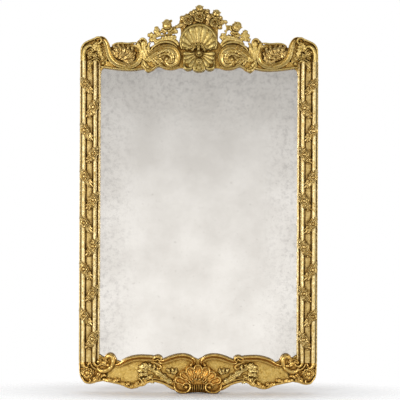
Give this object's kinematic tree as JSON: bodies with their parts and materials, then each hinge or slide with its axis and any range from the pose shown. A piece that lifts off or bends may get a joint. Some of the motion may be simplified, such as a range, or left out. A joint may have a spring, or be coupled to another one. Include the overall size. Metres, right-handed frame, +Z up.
{
  "type": "giltwood mirror",
  "caption": "Tall carved giltwood wall mirror with reeded side mouldings, a shell and rose cresting, a shaped apron, an old mirror plate and hanging rings on a back batten.",
  "frame": {"origin": "middle of the top carcass rail's back face, on the plane of the wall", "axes": "+X to the right for a viewer in front, +Y into the wall, +Z up"},
  "size_m": [1.076, 0.0942, 1.7515],
  "materials": {
    "gilding": "carved wood with gesso, red bole and worn gold leaf",
    "pine": "old planed softwood",
    "oak_pegs": "riven oak",
    "mirror_plate": "old silvered plate with faint foxing",
    "iron": "dark wrought iron"
  },
  "bodies": {
    "frame": {"apron_board": "gilding", "apron_rim_left": "gilding", "apron_rim_right": "gilding", "apron_scroll_inner_left": "gilding", "apron_scroll_inner_right": "gilding", "apron_scroll_outer_left": "gilding", "apron_scroll_outer_right": "gilding", "apron_shell": "gilding", "apron_spray_left": "gilding", "apron_spray_right": "gilding", "backboard_1": "pine", "backboard_2": "pine", "backboard_3": "pine", "backboard_4": "pine", "backboard_5": "pine", "backboard_nails": "iron", "basin_foliage_left": "gilding", "basin_foliage_right": "gilding", "basin_scroll_left": "gilding", "basin_scroll_right": "gilding", "carcass_rail_bottom": "pine", "carcass_rail_top": "pine", "carcass_screws": "iron", "carcass_stile_left": "pine", "carcass_stile_right": "pine", "corner_bottom_left": "gilding", "corner_bottom_right": "gilding", "corner_top_left": "gilding", "corner_top_right": "gilding", "crest_brace": "pine", "crest_buds": "gilding", "crest_leaves": "gilding", "crest_pendant": "gilding", "crest_rose_centre": "gilding", "crest_rose_left": "gilding", "crest_rose_right": "gilding", "crest_shell": "gilding", "cresting_board": "gilding", "garland_left_inner": "gilding", "garland_left_outer": "gilding", "garland_right_inner": "gilding", "garland_right_outer": "gilding", "glass_blocks": "pine", "hanger_screws": "iron", "hanger_strap_left": "iron", "hanger_strap_right": "iron", "hanging_batten": "pine", "lap_joint_pegs": "oak_pegs", "mirror_plate": "mirror_plate", "plume_leaf_left": "gilding", "plume_leaf_right": "gilding", "reeded_moulding_left": "gilding", "reeded_moulding_right": "gilding", "rose_spray_left": "gilding", "rose_spray_right": "gilding", "volute_scroll_left": "gilding", "volute_scroll_right": "gilding"},
    "hanger_ring_left": {"hanger_ring_left": "iron"},
    "hanger_ring_right": {"hanger_ring_right": "iron"}
  },
  "joints": [
    {"name": "ring_left_swing", "type": "hinge", "parent": "frame", "child": "hanger_ring_left", "pos_m": [-0.33, -0.0044, -0.243], "axis": [1, 0, 0], "range_deg": [-5, 170]},
    {"name": "ring_right_swing", "type": "hinge", "parent": "frame", "child": "hanger_ring_right", "pos_m": [0.33, -0.0044, -0.243], "axis": [1, 0, 0], "range_deg": [-5, 170]}
  ]
}
